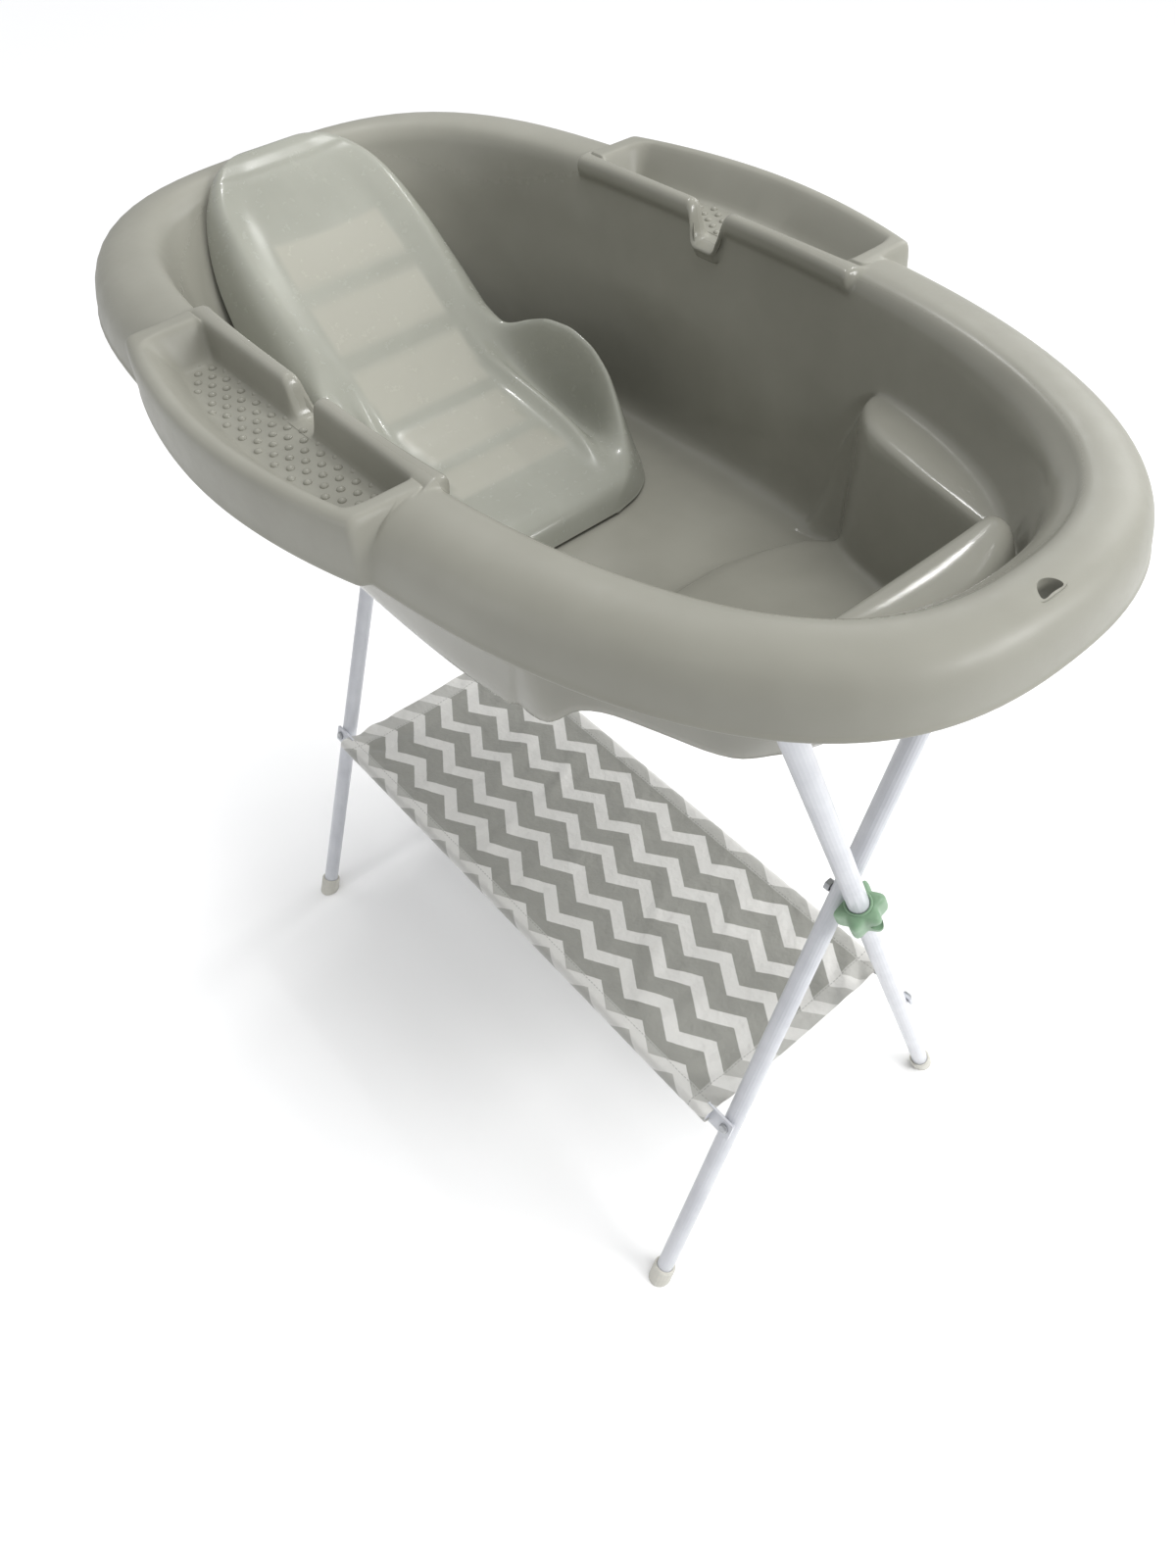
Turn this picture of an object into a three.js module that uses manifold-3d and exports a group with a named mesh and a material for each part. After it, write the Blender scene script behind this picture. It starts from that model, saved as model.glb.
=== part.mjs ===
// Baby bath on a folding stand: an egg-shaped tub with a lift-out seat insert, carried by two
// crossed leg frames that pivot on green hubs, with a cloth shelf slung between two rods.
// Millimetres, +Z up, +X towards the foot end of the bath, origin on the floor under its middle.
import * as THREE from 'three';
import { mergeVertices } from 'three/addons/utils/BufferGeometryUtils.js';
import Module from 'manifold-3d';

const wasm = await Module();
wasm.setup();

// Driving dimensions
const fit = 0.3; // gap between touching pieces
const rimHeight = 910;
const rimHalfWidth = 247;
const skirtDepth = 44;
const floorHeight = 703;
const wall = 3.2;
const eggCentre = -30; // where the two halves of the egg outline meet
const headPower = 3.3; // bluntness of the head half
const footPower = 2.55; // bluntness of the foot half

const trayHalfLength = 140;
const trayInner = 196; // distance of the tray's inner side from the long axis
const trayOuter = 259;
const trayDepth = 28;
const spoutWidth = 24;

const armTop = 836;
const backTop = 852;
const hangHoleRadius = 5;

const standCentre = -19;
const tubeRadius = 9;
const tubeWall = 1.3;
const legAxisGap = 21; // between the inner and the outer leg of one cross
const legPlane = 360; // half the distance between the two crosses
const pivotHeight = 530;
const footSpread = 205.4; // from the middle to a foot, at the floor
const legTilt = Math.atan(footSpread / pivotHeight);
const legTop = 386;
const capHeight = 22;

const shelfHeight = 251.4; // where the shelf screws meet the legs
const rodRadius = 6;
const tabThickness = 3;
const shelfHalfLength = 332;
const shelfSag = 14;
const shelfThickness = 4;

const hubHalfHeight = 15;
const hubRadius = 18.5;
const hubLobe = 3;
const hubSocket = 7; // from the pivot to the end of each outer tube
const boltRadius = 3;

const seatHalfWidth = 131;
const seatThickness = 3.2;

function paint(colour, roughness, metalness = 0) {
  return new THREE.MeshStandardMaterial({ color: colour, roughness, metalness });
}

const taupePlastic = paint(0x99978c, 0.42);
const palePlastic = paint(0xb9bab0, 0.2);
const whitePaint = paint(0xe4e5e6, 0.38);
const whitePlastic = paint(0xe6e3d8, 0.5);
const greenPlastic = paint(0x86a686, 0.45);
const zincSteel = paint(0x8d8f92, 0.35, 0.9);
const greyCloth = paint(0xb4b4b0, 0.9);

const root = new THREE.Group();

function addMesh(parent, name, geometry, material) {
  const mesh = new THREE.Mesh(geometry, material);
  mesh.name = name;
  parent.add(mesh);
  return mesh;
}

// Booleans: a closed three.js geometry to a solid and back
function solid(geometry) {
  const bare = geometry.index ? geometry.clone() : mergeVertices(geometry.clone());
  bare.deleteAttribute('normal');
  bare.deleteAttribute('uv');
  const merged = mergeVertices(bare, 1e-4);
  const corners = [];
  for (let i = 0; i < merged.index.count; i += 3) {
    const [a, b, c] = [0, 1, 2].map((k) => merged.index.getX(i + k));
    if (a !== b && b !== c && c !== a) corners.push(a, b, c);
  }
  return new wasm.Manifold(new wasm.Mesh({
    numProp: 3,
    vertProperties: new Float32Array(merged.attributes.position.array),
    triVerts: new Uint32Array(corners),
  }));
}

function surface(body) {
  const mesh = body.getMesh();
  const geometry = new THREE.BufferGeometry();
  const corners = new Float32Array(mesh.vertProperties);
  geometry.setAttribute('position', new THREE.BufferAttribute(corners, 3));
  geometry.setIndex(new THREE.BufferAttribute(new Uint32Array(mesh.triVerts), 1));
  geometry.computeVertexNormals();
  return geometry;
}

// Plain shapes
function cylinder(radius, from, to, sides = 16) {
  const geometry = new THREE.CylinderGeometry(radius, radius, to - from, sides);
  geometry.rotateX(Math.PI / 2);
  geometry.translate(0, 0, (from + to) / 2);
  return geometry;
}

function crossBar(radius, from, to, sides = 20) {
  const geometry = new THREE.CylinderGeometry(radius, radius, to - from, sides);
  geometry.rotateZ(-Math.PI / 2);
  geometry.translate((from + to) / 2, 0, 0);
  return geometry;
}

function box(width, depth, height, x, y, z) {
  const geometry = new THREE.BoxGeometry(width, depth, height);
  geometry.translate(x, y, z);
  return geometry;
}

function turned(points, sides = 20) {
  const geometry = new THREE.LatheGeometry(points.map(([r, z]) => new THREE.Vector2(r, z)), sides);
  geometry.rotateX(Math.PI / 2);
  return geometry;
}

function slab(shape, from, to, bevel = 0) {
  const geometry = new THREE.ExtrudeGeometry(shape, {
    depth: to - from - 2 * bevel,
    steps: 1,
    curveSegments: 5,
    bevelEnabled: bevel > 0,
    bevelThickness: bevel,
    bevelSize: bevel,
    bevelOffset: -bevel,
    bevelSegments: 2,
  });
  geometry.translate(0, 0, from + bevel);
  return geometry;
}

// Tub
// One ring of the egg: the radius in each direction of a two-part superellipse.
function eggPoint(angle, halfWidth, headHalf, footHalf) {
  const along = Math.cos(angle);
  const across = Math.sin(angle);
  const half = along < 0 ? headHalf : footHalf;
  const power = along < 0 ? headPower : footPower;
  const sum = (Math.abs(along) / half) ** power + (Math.abs(across) / halfWidth) ** power;
  const reach = sum ** (-1 / power);
  return [eggCentre + reach * along, reach * across];
}

// halfWidth, half length to the head, half length to the foot, height
const basinRows = [
  [0, 0, 0, floorHeight],
  [150, 252, 330, floorHeight],
  [160, 268, 344, floorHeight + 4],
  [167, 279, 353, floorHeight + 14],
  [171, 290, 362, floorHeight + 40],
  [178, 332, 392, floorHeight + 120],
  [183, 363, 414, rimHeight - 20],
  [187, 371, 431, rimHeight - 6],
];
const rimRows = [
  [194, 377, 438, rimHeight - 1],
  [202, 383, 444, rimHeight],
  [222, 397, 458, rimHeight],
  [233, 405, 466, rimHeight - 3],
  [241, 411, 472, rimHeight - 11],
  [245, 414.5, 475, rimHeight - 24],
  [rimHalfWidth, 416, 476, rimHeight - skirtDepth],
];
const undersideRows = [
  [rimHalfWidth - wall, 412.8, 472.8, rimHeight - skirtDepth],
  [241.8, 411.3, 471.8, rimHeight - 25],
  [238, 408, 468.8, rimHeight - 14],
  [231, 402.5, 463.5, rimHeight - 6.4],
  [221.5, 396, 457, rimHeight - wall],
  [203, 384.5, 445.5, rimHeight - wall],
  [196.5, 380.5, 441.5, rimHeight - 4.6],
  [190.4, 374.8, 434.6, rimHeight - 8.4],
  [186.4, 366.8, 417.6, rimHeight - 21],
  [181.3, 336, 395.6, floorHeight + 119],
  [174.4, 294.2, 365.6, floorHeight + 39],
  [169.6, 282.6, 356.6, floorHeight + 11.6],
  [161, 270, 346, floorHeight + 0.6],
  [151, 253, 331, floorHeight - wall],
  [0, 0, 0, floorHeight - wall],
];

// A turned body whose rings are stretched to the egg outline, from a profile that runs downwards
// on the outside.
function eggBody(profile) {
  const rows = [...profile].reverse();
  const segments = 52;
  const outline = rows.map((row) => new THREE.Vector2(row[0], row[3]));
  const geometry = new THREE.LatheGeometry(outline, segments);
  const position = geometry.attributes.position;
  for (let i = 0; i < position.count; i += 1) {
    const [halfWidth, headHalf, footHalf, height] = rows[i % rows.length];
    const segment = Math.floor(i / rows.length) % segments;
    const angle = (2 * Math.PI * segment) / segments;
    const onAxis = halfWidth === 0;
    const [x, y] = onAxis ? [eggCentre, 0] : eggPoint(angle, halfWidth, headHalf, footHalf);
    position.setXYZ(i, x, y, height);
  }
  return geometry;
}

// The space inside the basin, grown sideways into its wall.
function basinSpace(grow) {
  const grown = ([width, head, foot, z]) => [width + grow, head + grow, foot + grow, z];
  const sides = basinRows.slice(1).map(grown).reverse();
  const top = rimHeight + 10;
  const [width, head, foot] = sides[0];
  return solid(eggBody([[0, 0, 0, top], [width, head, foot, top], ...sides, [0, 0, 0, floorHeight]]));
}

// A tray's outline on one side of the bath: straight along the basin, bowed on the outside.
function trayOutline(side, grow) {
  const half = trayHalfLength + grow;
  const inner = trayInner - grow;
  const outer = trayOuter + grow;
  const endWidth = trayOuter - 22 + grow * 0.6;
  const shape = new THREE.Shape();
  shape.moveTo(eggCentre - half, side * inner);
  shape.lineTo(eggCentre - half, side * endWidth);
  shape.quadraticCurveTo(eggCentre, side * (2 * outer - endWidth), eggCentre + half, side * endWidth);
  shape.lineTo(eggCentre + half, side * inner);
  shape.closePath();
  return shape;
}

function withTray(body, side) {
  const top = rimHeight + 1;
  const skirtBottom = rimHeight - skirtDepth;
  const lip = 14;
  const hood = solid(slab(trayOutline(side, lip), skirtBottom, top, 3));
  const hoodInside = solid(slab(trayOutline(side, lip - wall), skirtBottom - 5, top - wall));
  const pocket = solid(slab(trayOutline(side, wall), top - trayDepth - wall, top - 0.5));
  const recess = solid(slab(trayOutline(side, 0), top - trayDepth, top + 5));
  const spout = solid(box(spoutWidth, 40, 38, eggCentre, side * (trayInner - 10), top));
  const rimBand = solid(slab(trayOutline(side, lip - 2), skirtBottom - 5, top - 1.5));
  const basinSide = solid(box(900, 2 * (trayInner - lip + wall + 0.5), 400, eggCentre, 0, rimHeight - 100));
  const opened = body.subtract(rimBand.subtract(basinSide));
  const shelled = opened.add(hood.subtract(hoodInside));
  return shelled.add(pocket).subtract(recess).subtract(spout);
}

// A moulded support that rises from the basin floor. It is hollow, and open through the floor below.
function withSupport(body, outline, innerOutline, top) {
  const openTop = Math.min(floorHeight + 30, top - wall);
  const below = floorHeight - 20;
  const outer = solid(slab(outline, floorHeight - 8, top, 5));
  const hollow = solid(slab(innerOutline, below, top - wall));
  const opening = solid(slab(innerOutline, below, openTop));
  const raised = body.add(outer.intersect(basinSpace(1.5)));
  return raised.subtract(hollow.intersect(basinSpace(0))).subtract(opening);
}

function armOutline(side, grow) {
  const shape = new THREE.Shape();
  shape.moveTo(157 - grow, side * 195);
  shape.quadraticCurveTo(148 - grow, side * (136 - grow), 192, side * (128 - grow));
  shape.quadraticCurveTo(250, side * (116 - grow), 312 + grow, side * (112 - grow));
  shape.lineTo(312 + grow, side * 195);
  shape.closePath();
  return shape;
}

// The back rest across the foot end: two lobes with a waist between them.
function backOutline(grow) {
  const front = 322 - grow;
  const shape = new THREE.Shape();
  shape.moveTo(front, 128);
  shape.lineTo(front, -128);
  shape.lineTo(342 + grow, -128);
  shape.quadraticCurveTo(364 + grow, -92, 354 + grow, -52);
  shape.quadraticCurveTo(340 + grow, -24, 340 + grow, 0);
  shape.quadraticCurveTo(340 + grow, 24, 354 + grow, 52);
  shape.quadraticCurveTo(364 + grow, 92, 342 + grow, 128);
  shape.closePath();
  return shape;
}

// The raised floor of the foot half, with its curved edge.
function raisedFloorOutline(grow) {
  const shape = new THREE.Shape();
  shape.moveTo(104 - grow, -120 - grow);
  shape.quadraticCurveTo(108 - grow, 0, 104 - grow, 120 + grow);
  shape.quadraticCurveTo(140, 150 + grow, 210, 143 + grow);
  shape.quadraticCurveTo(336 + grow, 110 + grow, 340 + grow, 0);
  shape.quadraticCurveTo(336 + grow, -110 - grow, 210, -143 - grow);
  shape.quadraticCurveTo(140, -150 - grow, 104 - grow, -120 - grow);
  return shape;
}

function tubShell() {
  const raised = 18;
  let body = solid(eggBody([...basinRows, ...rimRows, ...undersideRows]));
  for (const side of [-1, 1]) body = withTray(body, side);
  body = withSupport(body, raisedFloorOutline(0), raisedFloorOutline(-wall), floorHeight + raised);
  for (const side of [-1, 1]) {
    body = withSupport(body, armOutline(side, 0), armOutline(side, -4), armTop);
  }
  body = withSupport(body, backOutline(0), backOutline(-4), backTop);
  for (const side of [-1, 1]) {
    // a standing bump below the raised floor, and the bosses that rest on the legs
    const bump = cylinder(17, floorHeight - wall, floorHeight + raised - 1);
    bump.translate(268, side * 78, 0);
    body = body.add(solid(bump));
    for (const end of [-1, 1]) {
      const boss = cylinder(tubeRadius - 0.5, rimHeight - 11.4, rimHeight - 2);
      const topY = (rimHeight - 12 - pivotHeight) * Math.tan(legTilt);
      const plane = legPlane - side * legAxisGap / 2;
      boss.translate(standCentre + end * plane, side * topY, 0);
      body = body.add(solid(boss));
    }
  }
  const hangHole = cylinder(hangHoleRadius, rimHeight - 20, rimHeight + 5, 16);
  hangHole.scale(1, 1.7, 1);
  hangHole.translate(424, -8, 0);
  return surface(body.subtract(solid(hangHole)));
}
addMesh(root, 'tub_shell', tubShell(), taupePlastic);

// Seat insert: a thin shell bent from a flat block. The head end leans on the basin's head wall.
// Each station along the seat: x, height of the middle, half width, rise of the side, fall of the flank.
const seatStations = [
  [-384, 903, 52, 0, 6],
  [-370, 900, 74, 4, 12],
  [-345, 880, 92, 9, 20],
  [-310, 854, 105, 10, 24],
  [-270, 823, 111, 10, 26],
  [-230, 792, 119, 12, 28],
  [-190, 764, 129, 22, 34],
  [-150, 748, seatHalfWidth, 30, 40],
  [-110, 740, 128, 30, 40],
  [-70, 736, 118, 20, 34],
  [-40, 733, 104, 6, 26],
  [-16, 731, 88, 0, 22],
  [0, 724, 74, 0, 16],
  [6, 707.5, 66, 0, 0],
];

function seatInsert() {
  const geometry = new THREE.BoxGeometry(1, 1, 1, seatStations.length - 1, 12, 1);
  const position = geometry.attributes.position;
  for (let i = 0; i < position.count; i += 1) {
    const station = seatStations[Math.round((position.getX(i) + 0.5) * (seatStations.length - 1))];
    const [x, middle, halfWidth, rise, fall] = station;
    const across = position.getY(i) * 2;
    const inward = Math.abs(across);
    const side = rise * Math.sin(Math.min(inward / 0.75, 1) * Math.PI / 2) ** 2;
    const edge = Math.max(inward - 0.75, 0) / 0.25;
    const top = middle + side - fall * edge ** 2;
    const under = position.getZ(i) < 0 ? seatThickness : 0;
    position.setXYZ(i, x, across * (halfWidth - under * edge), top - under);
  }
  return geometry;
}
addMesh(root, 'seat_insert', seatInsert(), palePlastic);

// Stand: frame A is the outer leg of each cross and frame B the inner one. Each frame is a group
// at the pivot line, turned by the leg tilt, so its legs run along its own Z.
const legFoot = -pivotHeight / Math.cos(legTilt); // where a leg's axis meets the floor
const tubeFoot = legFoot + 12;
const tabLevel = (shelfHeight - pivotHeight) / Math.cos(legTilt);
const rodOffset = tubeRadius + fit + rodRadius;

function frameGroup(side) {
  const group = new THREE.Group();
  group.position.set(standCentre, 0, pivotHeight);
  group.rotation.x = side * legTilt;
  root.add(group);
  return group;
}

const frameA = frameGroup(1);
const frameB = frameGroup(-1);

function tube(from, to, holes = []) {
  const inner = tubeRadius - tubeWall;
  const ring = turned([[inner, to], [inner, from], [tubeRadius, from], [tubeRadius, to], [inner, to]]);
  const drilled = holes.reduce((body, hole) => body.subtract(solid(hole)), solid(ring));
  return surface(drilled);
}

// The hole that a shelf screw goes through, on the leg's outward side.
function shelfScrewHole(outward) {
  const geometry = new THREE.CylinderGeometry(2.9, 2.9, 12, 12);
  geometry.translate(0, outward * tubeRadius, tabLevel);
  return geometry;
}

function footCap(side) {
  const socket = turned([[0, legFoot - 20], [12, legFoot - 20], [12, legFoot + capHeight - 2],
    [11, legFoot + capHeight], [tubeRadius + fit, legFoot + capHeight], [tubeRadius + fit, tubeFoot - fit],
    [0, tubeFoot - fit]]);
  const ground = new THREE.BoxGeometry(80, 700, 60);
  ground.translate(0, 0, -30 - pivotHeight);
  ground.rotateX(-side * legTilt);
  return surface(solid(socket).subtract(solid(ground)));
}

function legPlug() {
  const inside = tubeRadius - tubeWall - fit;
  const head = legTop + fit;
  return turned([[0, legTop - 14], [inside - 1, legTop - 14], [inside, legTop - 12], [inside, head],
    [tubeRadius, head], [tubeRadius, head + 2], [tubeRadius - 2, head + 4.6], [tubeRadius - 5, head + 6],
    [0, head + 6.4]]);
}

// A shelf rod with its two flattened ends, seen from the middle of the stand.
function shelfRod(outward, plane) {
  const reach = plane - 19;
  const centre = outward * rodOffset;
  const tabY = outward * (tubeRadius + fit + tabThickness / 2);
  const bar = crossBar(rodRadius, -reach, reach, 16);
  bar.translate(0, centre, tabLevel);
  let body = solid(bar);
  for (const end of [-1, 1]) {
    const tab = solid(box(34, tabThickness, 19, end * (plane - 9), tabY, tabLevel));
    const hole = new THREE.CylinderGeometry(2.9, 2.9, 30, 12);
    hole.translate(end * plane, tabY, tabLevel);
    body = body.add(tab).subtract(solid(hole));
  }
  return surface(body);
}

function shelfScrew(outward) {
  const seat = tubeRadius + fit + tabThickness + fit;
  const geometry = turned([[0, -8], [2.5, -8], [2.5, 0], [5, 0], [5, 1.6], [3.6, 3], [0, 3.2]], 16);
  geometry.rotateX(-outward * Math.PI / 2);
  geometry.translate(0, outward * seat, tabLevel);
  return geometry;
}

// The green hub: a lobed collar around the outer leg, flat where it meets the inner one.
function hub(end) {
  const outline = new THREE.Shape();
  const steps = 48;
  for (let i = 0; i < steps; i += 1) {
    const angle = (2 * Math.PI * i) / steps;
    const radius = hubRadius + hubLobe * Math.cos(6 * angle);
    const [x, y] = [radius * Math.cos(angle), radius * Math.sin(angle)];
    if (i === 0) outline.moveTo(x, y);
    else outline.lineTo(x, y);
  }
  outline.closePath();
  const flat = legAxisGap - tubeRadius - 2;
  let body = solid(slab(outline, -hubHalfHeight, hubHalfHeight, 3));
  body = body.subtract(solid(box(40, 80, 80, -end * (flat + 20), 0, 0)));
  body = body.subtract(solid(cylinder(tubeRadius + fit, hubSocket, 40, 20)));
  body = body.subtract(solid(cylinder(tubeRadius + fit, -40, -hubSocket, 20)));
  body = body.subtract(solid(crossBar(boltRadius + 0.4, -40, 40, 12)));
  const counterbore = crossBar(6.2, 12.4, 40, 16);
  if (end < 0) counterbore.rotateZ(Math.PI);
  return surface(body.subtract(solid(counterbore)));
}

// Pivot hardware along X, measured from the outer leg's axis and mirrored at the head end.
function pivotBolt(end) {
  const geometry = new THREE.LatheGeometry([[0, -36], [boltRadius, -36], [boltRadius, 12.7], [5.4, 12.7],
    [5.4, 15.4], [4.2, 16.4], [0, 16.4]].map(([r, x]) => new THREE.Vector2(r, x)), 16);
  geometry.rotateZ(-end * Math.PI / 2);
  return geometry;
}

// The bore's corners are pushed out so that its flats clear the bolt.
function ringAlongX(end, boreRadius, outerRadius, from, to, sides) {
  const bore = boreRadius / Math.cos(Math.PI / sides);
  const geometry = new THREE.LatheGeometry([[bore, to], [bore, from], [outerRadius, from],
    [outerRadius, to], [bore, to]].map(([r, x]) => new THREE.Vector2(r, x)), sides);
  geometry.rotateZ(-end * Math.PI / 2);
  return geometry;
}

for (const end of [-1, 1]) {
  const name = end < 0 ? 'head' : 'foot';
  const outerX = end * (legPlane + legAxisGap / 2);
  const innerX = end * (legPlane - legAxisGap / 2);

  const place = (frame, x, label, geometry, material) => {
    const mesh = addMesh(frame, label, geometry, material);
    mesh.position.x = x;
  };
  const upperTube = tube(hubSocket + fit, legTop);
  place(frameA, outerX, `outer_upper_tube_${name}`, upperTube, whitePaint);
  const lowerTube = tube(tubeFoot, -hubSocket - fit, [shelfScrewHole(1)]);
  place(frameA, outerX, `outer_lower_tube_${name}`, lowerTube, whitePaint);
  place(frameA, outerX, `hub_${name}`, hub(end), greenPlastic);
  place(frameA, outerX, `foot_cap_outer_${name}`, footCap(1), whitePlastic);
  place(frameA, outerX, `leg_plug_outer_${name}`, legPlug(), whitePlastic);
  place(frameA, outerX, `shelf_screw_far_${name}`, shelfScrew(1), zincSteel);

  const pivotHole = crossBar(boltRadius + 0.4, -20, 20, 12);
  const innerLeg = tube(tubeFoot, legTop, [pivotHole, shelfScrewHole(-1)]);
  place(frameB, innerX, `inner_leg_${name}`, innerLeg, whitePaint);
  place(frameB, innerX, `foot_cap_inner_${name}`, footCap(-1), whitePlastic);
  place(frameB, innerX, `leg_plug_inner_${name}`, legPlug(), whitePlastic);
  place(frameB, innerX, `shelf_screw_near_${name}`, shelfScrew(-1), zincSteel);
  place(frameB, outerX, `pivot_bolt_${name}`, pivotBolt(end), zincSteel);
  const washer = ringAlongX(end, boltRadius + fit, 7.5, -11.7, -10.3, 16);
  place(frameB, outerX, `pivot_washer_${name}`, washer, zincSteel);
  const nut = ringAlongX(end, boltRadius + fit, 5.8, -35.3, -30.3, 6);
  place(frameB, outerX, `pivot_nut_${name}`, nut, zincSteel);
}
addMesh(frameA, 'shelf_rod_far', shelfRod(1, legPlane + legAxisGap / 2), whitePaint);
addMesh(frameB, 'shelf_rod_near', shelfRod(-1, legPlane - legAxisGap / 2), whitePaint);

// Cloth shelf: a plain sling between the rods, in the frame of the floor.
function shelfCloth() {
  const rodY = footSpread * (1 - shelfHeight / pivotHeight) + rodOffset * Math.cos(legTilt);
  const rodZ = shelfHeight + rodOffset * Math.sin(legTilt);
  const half = rodY - rodRadius - 1;
  const shape = new THREE.Shape();
  shape.moveTo(-half, rodZ);
  shape.quadraticCurveTo(0, rodZ - 2 * shelfSag, half, rodZ);
  shape.lineTo(half, rodZ - shelfThickness);
  shape.quadraticCurveTo(0, rodZ - shelfThickness - 2 * shelfSag, -half, rodZ - shelfThickness);
  shape.closePath();
  const geometry = new THREE.ExtrudeGeometry(shape, {
    depth: 2 * shelfHalfLength,
    bevelEnabled: false,
    curveSegments: 8,
  });
  geometry.rotateX(Math.PI / 2);
  geometry.rotateZ(Math.PI / 2);
  geometry.translate(standCentre - shelfHalfLength, 0, 0);
  return geometry;
}
addMesh(root, 'shelf_cloth', shelfCloth(), greyCloth);

export default root;
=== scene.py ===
import math

import bpy
import numpy as np
from mathutils import Matrix, Vector


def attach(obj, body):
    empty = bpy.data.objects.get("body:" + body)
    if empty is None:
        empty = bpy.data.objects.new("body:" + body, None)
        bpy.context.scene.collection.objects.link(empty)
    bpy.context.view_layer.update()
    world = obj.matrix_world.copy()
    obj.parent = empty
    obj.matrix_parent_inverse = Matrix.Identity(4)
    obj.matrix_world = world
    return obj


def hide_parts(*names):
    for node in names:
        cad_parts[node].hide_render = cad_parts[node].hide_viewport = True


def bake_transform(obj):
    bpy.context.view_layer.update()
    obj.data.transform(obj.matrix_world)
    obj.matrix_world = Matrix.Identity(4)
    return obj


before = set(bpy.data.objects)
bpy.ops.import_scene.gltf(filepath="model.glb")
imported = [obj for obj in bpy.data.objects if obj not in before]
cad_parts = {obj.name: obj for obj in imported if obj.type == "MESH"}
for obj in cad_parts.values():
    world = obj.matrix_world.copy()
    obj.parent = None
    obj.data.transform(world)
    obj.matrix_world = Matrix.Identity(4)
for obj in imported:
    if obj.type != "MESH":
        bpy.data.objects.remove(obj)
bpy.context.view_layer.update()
mm = 0.001


def deselectAll():
    if bpy.context.mode != "OBJECT":
        bpy.ops.object.mode_set(mode="OBJECT")
    bpy.ops.object.select_all(action="DESELECT")


def pick(piece):
    deselectAll()
    piece.select_set(True)
    bpy.context.view_layer.objects.active = piece


def named(name):
    piece = bpy.context.object
    piece.name = name
    piece.data.name = name
    return piece


def applyAll(piece):
    pick(piece)
    for modifier in list(piece.modifiers):
        bpy.ops.object.modifier_apply(modifier=modifier.name)


def settle(piece):
    # place, turn and size go into the mesh, so the object sits at the origin
    pick(piece)
    bpy.ops.object.transform_apply(location=True, rotation=True, scale=True)


def smooth(piece, angle=40):
    pick(piece)
    bpy.ops.object.shade_smooth_by_angle(angle=math.radians(angle))


def weld(piece, distance=0.00001):
    pick(piece)
    bpy.ops.object.mode_set(mode="EDIT")
    bpy.ops.mesh.select_all(action="SELECT")
    bpy.ops.mesh.remove_doubles(threshold=distance)
    bpy.ops.object.mode_set(mode="OBJECT")


def faceOut(piece):
    weld(piece)
    bpy.ops.object.mode_set(mode="EDIT")
    bpy.ops.mesh.select_all(action="SELECT")
    bpy.ops.mesh.normals_make_consistent(inside=False)
    bpy.ops.object.mode_set(mode="OBJECT")


def joined(name, pieces):
    deselectAll()
    for piece in pieces:
        piece.select_set(True)
    bpy.context.view_layer.objects.active = pieces[0]
    if len(pieces) > 1:
        bpy.ops.object.join()
    return named(name)


def shapedGrid(name, points):
    # a flat grid whose points are moved to their places; points is rows x columns x 3
    rows, columns = points.shape[:2]
    deselectAll()
    bpy.ops.mesh.primitive_grid_add(x_subdivisions=columns - 1, y_subdivisions=rows - 1, size=1)
    piece = named(name)
    piece.data.vertices.foreach_set("co", points.astype(np.float32).ravel())
    piece.data.update()
    return piece


def subdivided(piece, levels=1):
    modifier = piece.modifiers.new("subdivision", "SUBSURF")
    modifier.levels = levels
    modifier.render_levels = levels


def thickened(piece, thickness):
    modifier = piece.modifiers.new("thickness", "SOLIDIFY")
    modifier.thickness = thickness
    modifier.offset = -1
    modifier.use_even_offset = False


def carve(piece, cutter):
    modifier = piece.modifiers.new("carve", "BOOLEAN")
    modifier.operation = "DIFFERENCE"
    modifier.solver = "EXACT"
    modifier.object = cutter
    applyAll(piece)
    bpy.data.objects.remove(cutter)


def flipIfDown(piece, near):
    # the face closest to a point has to look up
    centre = Vector(near)
    face = min(piece.data.polygons, key=lambda f: (f.center - centre).length)
    if face.normal.z < 0:
        pick(piece)
        bpy.ops.object.mode_set(mode="EDIT")
        bpy.ops.mesh.select_all(action="SELECT")
        bpy.ops.mesh.flip_normals()
        bpy.ops.object.mode_set(mode="OBJECT")


def ease(value, low, high):
    t = np.clip((value - low) / (high - low), 0, 1)
    return t * t * (3 - 2 * t)


def bell(value, middle, width):
    return np.exp(-((value - middle) / width) ** 2)


def paintPoints(piece, name, values):
    layer = piece.data.attributes.new(name, "FLOAT", "POINT")
    layer.data.foreach_set("value", np.asarray(values, np.float32))


def newMaterial(name):
    material = bpy.data.materials.new(name)
    material.use_nodes = True
    nodes = material.node_tree.nodes
    return material, nodes, material.node_tree.links, nodes["Principled BSDF"]


def objectCoords(nodes):
    return nodes.new("ShaderNodeTexCoord").outputs["Object"]


def noiseNode(nodes, links, vector, scale, detail=3, roughness=0.5):
    node = nodes.new("ShaderNodeTexNoise")
    node.inputs["Scale"].default_value = scale
    node.inputs["Detail"].default_value = detail
    node.inputs["Roughness"].default_value = roughness
    links.new(vector, node.inputs["Vector"])
    return node.outputs["Fac"]


def rangeNode(nodes, links, value, low, high, outLow, outHigh):
    node = nodes.new("ShaderNodeMapRange")
    limits = {"From Min": low, "From Max": high, "To Min": outLow, "To Max": outHigh}
    for socket, number in limits.items():
        node.inputs[socket].default_value = number
    links.new(value, node.inputs["Value"])
    return node.outputs["Result"]


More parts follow.
